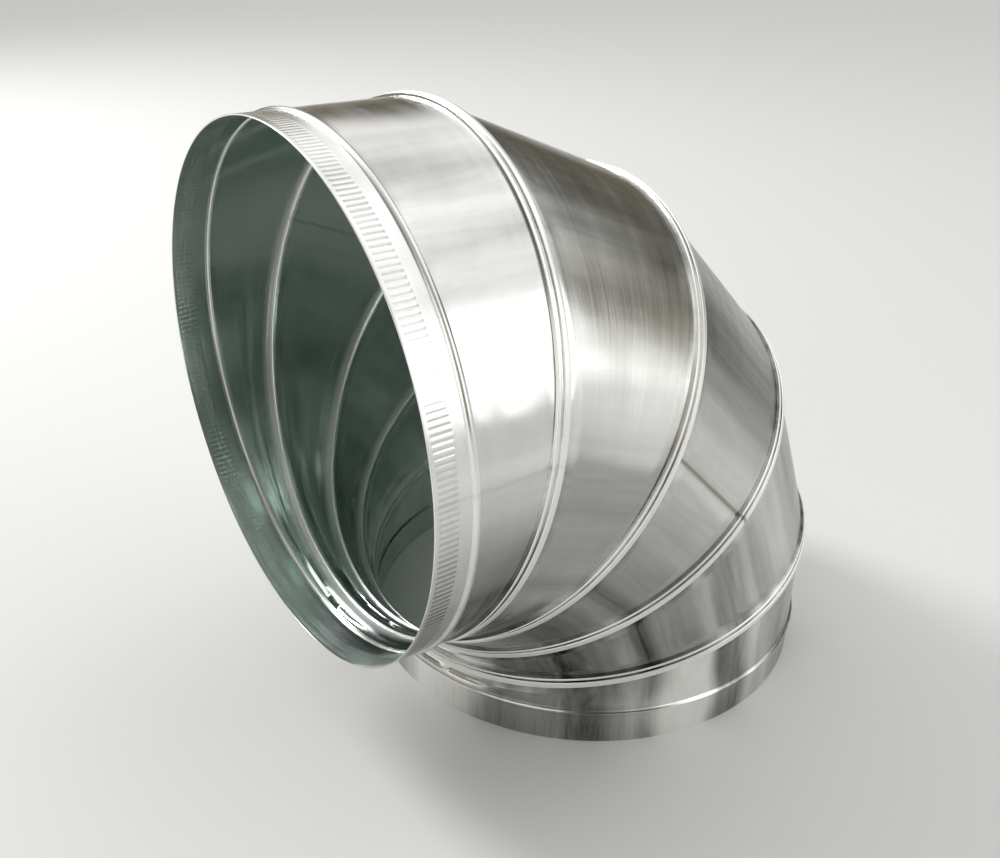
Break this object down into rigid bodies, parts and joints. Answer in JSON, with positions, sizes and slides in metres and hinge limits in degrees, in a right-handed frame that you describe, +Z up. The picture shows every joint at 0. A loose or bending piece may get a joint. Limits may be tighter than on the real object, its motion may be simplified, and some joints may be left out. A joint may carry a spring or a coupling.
{
  "type": "duct elbow",
  "caption": "Segmented 90 degree round duct elbow in galvanised sheet steel, gores joined by lock seams, with beaded collars.",
  "frame": {"origin": "centre of the outlet collar's end, on the floor the elbow stands on", "axes": "+Z up along the outlet's axis into the elbow; the inlet opens towards -X; Y is along the bend axis and XZ is the plane of symmetry"},
  "size_m": [0.3738, 0.3035, 0.3739],
  "materials": {
    "galvanised_sheet": "bright galvanised, with fine rolling streaks round the duct"
  },
  "bodies": {
    "root": {"inlet_gore": "galvanised_sheet", "upper_gore": "galvanised_sheet", "middle_gore": "galvanised_sheet", "lower_gore": "galvanised_sheet", "outlet_gore": "galvanised_sheet"}
  },
  "joints": []
}
